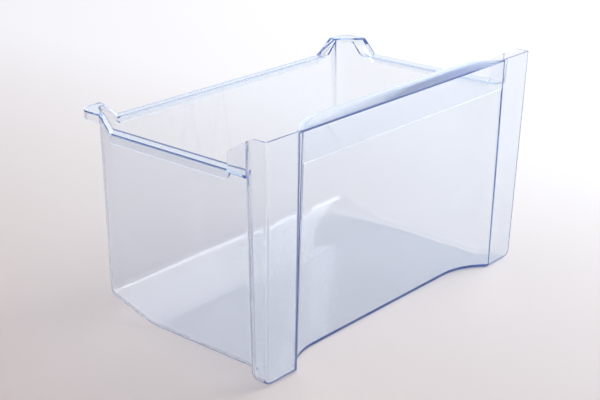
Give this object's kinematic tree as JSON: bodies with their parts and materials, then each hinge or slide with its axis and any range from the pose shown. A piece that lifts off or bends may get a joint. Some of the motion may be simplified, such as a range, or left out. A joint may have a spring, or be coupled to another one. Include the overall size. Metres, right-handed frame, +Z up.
{
  "type": "freezer drawer",
  "caption": "Clear one-piece freezer drawer with a recessed front under a handle lip, a turned-down rim, raised rear corners and a floor that rises at the back.",
  "frame": {"origin": "on the plane of the level floor's underside, at the middle of the drawer's width and depth", "axes": "+X to the right seen from the front, -Y towards the handle front, +Z up"},
  "size_m": [0.44, 0.2604, 0.248],
  "materials": {
    "clear_polystyrene": "clear moulded plastic with a faint blue tint, polished both sides"
  },
  "bodies": {
    "root": {"drawer": "clear_polystyrene"}
  },
  "joints": []
}
